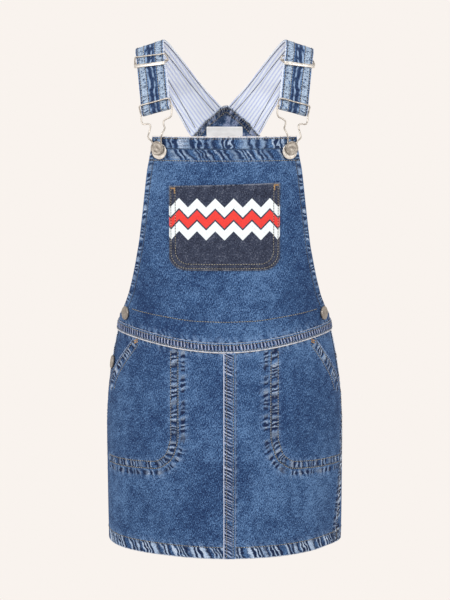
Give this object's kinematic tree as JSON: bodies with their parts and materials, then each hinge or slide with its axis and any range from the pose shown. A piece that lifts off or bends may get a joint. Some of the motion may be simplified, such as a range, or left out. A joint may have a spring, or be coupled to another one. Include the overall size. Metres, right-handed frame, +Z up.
{
  "type": "denim pinafore dress",
  "caption": "Child's sleeveless denim pinafore dress with a bib, a chest pocket, buckled shoulder straps and a short straight skirt, filled out as if worn.",
  "frame": {"origin": "midway between the two shoulder straps, level with the underside of their highest points", "axes": "+Z up, -Y towards the front of the wearer, +X to the right as seen from the front"},
  "size_m": [0.3041, 0.2171, 0.64],
  "materials": {
    "denim": "stone-washed mid blue twill",
    "pocket_cloth": "navy canvas",
    "lining": "fine blue and white stripe",
    "label": "smooth white ribbon",
    "metal": "satin nickel"
  },
  "bodies": {
    "root": {"bib": "denim", "chest_pocket": "pocket_cloth", "back": "denim", "yoke_facing": "denim", "yoke_label": "label", "waist_strip_front": "denim", "waist_strip_back": "denim", "centre_front_seam": "denim", "skirt_back": "denim", "skirt_front_left": "denim", "skirt_front_right": "denim", "hip_pocket_left": "denim", "hip_pocket_right": "denim", "strap_left": "denim", "strap_right": "denim", "strap_lining_left": "lining", "strap_lining_right": "lining", "slider_left": "metal", "slider_right": "metal", "hook_left": "metal", "hook_right": "metal", "bib_button_left": "metal", "bib_button_right": "metal", "side_button_upper_left": "metal", "side_button_upper_right": "metal", "side_button_lower_left": "metal", "side_button_lower_right": "metal"}
  },
  "joints": []
}
